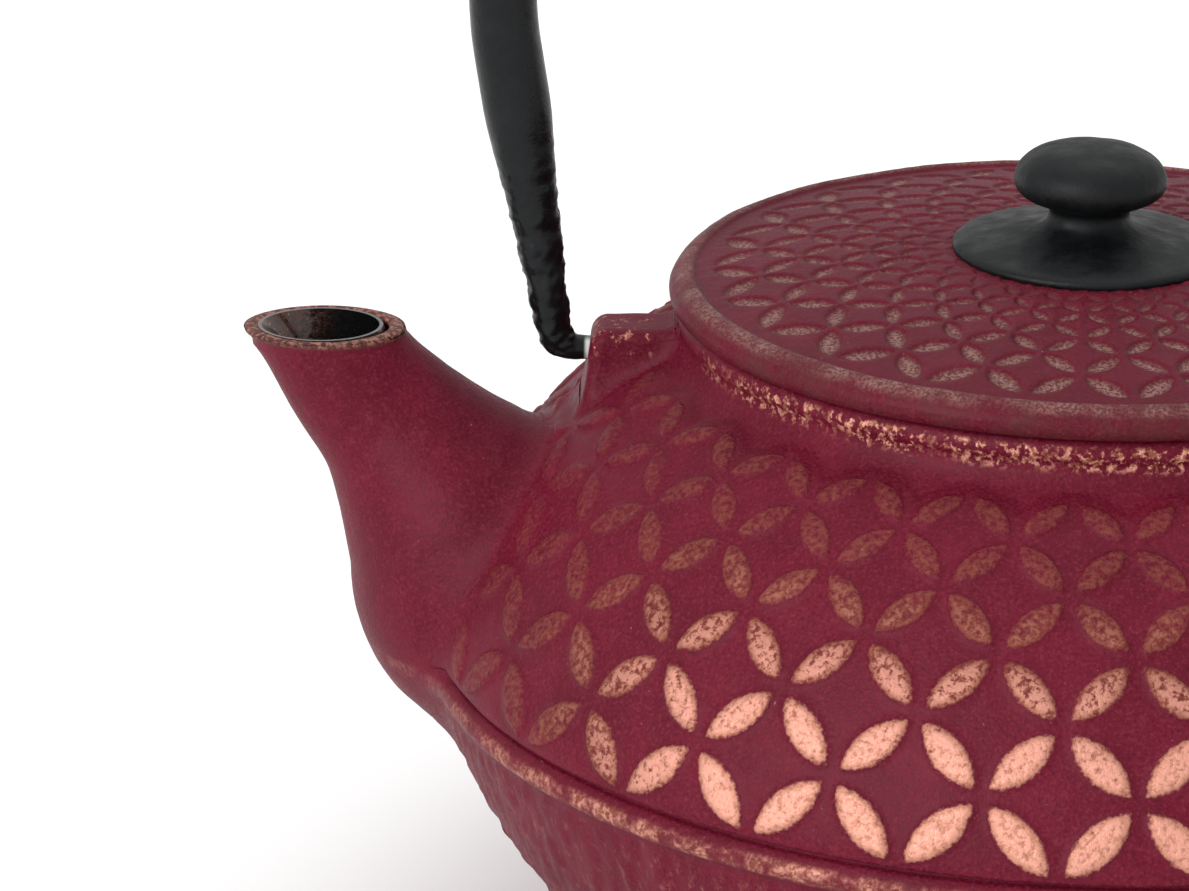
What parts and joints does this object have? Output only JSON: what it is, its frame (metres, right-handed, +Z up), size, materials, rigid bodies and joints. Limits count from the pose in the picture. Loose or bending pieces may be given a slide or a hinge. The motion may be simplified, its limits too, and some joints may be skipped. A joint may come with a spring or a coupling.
{
  "type": "cast iron teapot",
  "caption": "Squat cast iron teapot with interlocking-circle relief, level-cut spout, flat lid with a knob, strainer basket and an arched swinging bail handle.",
  "frame": {"origin": "centre of the flat base, on the pot's axis, at the table surface", "axes": "+Z up along the pot's axis, -X towards the spout, the handle's pivot line runs along X"},
  "size_m": [0.1824, 0.16, 0.1775],
  "materials": {
    "iron_red": "semi-matte wine-red paint over fine sand-cast grain, with copper dry-brushed on the raised relief",
    "enamel_black": "glossy black vitreous enamel",
    "handle_black": "satin black lacquer on rolled sheet",
    "lid_red": "semi-matte wine-red paint with copper dry-brushed relief",
    "knob_black": "satin black lacquer",
    "screw_steel": "bright stainless",
    "washer_steel": "bright stainless",
    "rim_steel": "bright pressed stainless",
    "mesh_steel": "punched stainless sheet",
    "ring_steel": "bright pressed stainless",
    "floor_steel": "punched stainless sheet"
  },
  "bodies": {
    "pot": {"pot_body": "iron_red", "enamel_lining": "enamel_black"},
    "bail": {"handle": "handle_black"},
    "basket": {"basket_rim": "rim_steel", "basket_wall": "mesh_steel", "basket_ring": "ring_steel", "basket_floor": "floor_steel"},
    "cover": {"lid": "lid_red", "knob": "knob_black", "knob_screw": "screw_steel", "knob_washer": "washer_steel"}
  },
  "joints": [
    {"name": "handle_swing", "type": "hinge", "parent": "pot", "child": "bail", "pos_m": [0, 0, 0.0774], "axis": [1, 0, 0], "range_deg": [-105, 105]},
    {"name": "basket_lift", "type": "slide", "parent": "pot", "child": "basket", "axis": [0, 0, 1], "range_m": [0, 0.025]},
    {"name": "lid_lift", "type": "slide", "parent": "basket", "child": "cover", "axis": [0, 0, 1], "range_m": [0, 0.03]}
  ]
}
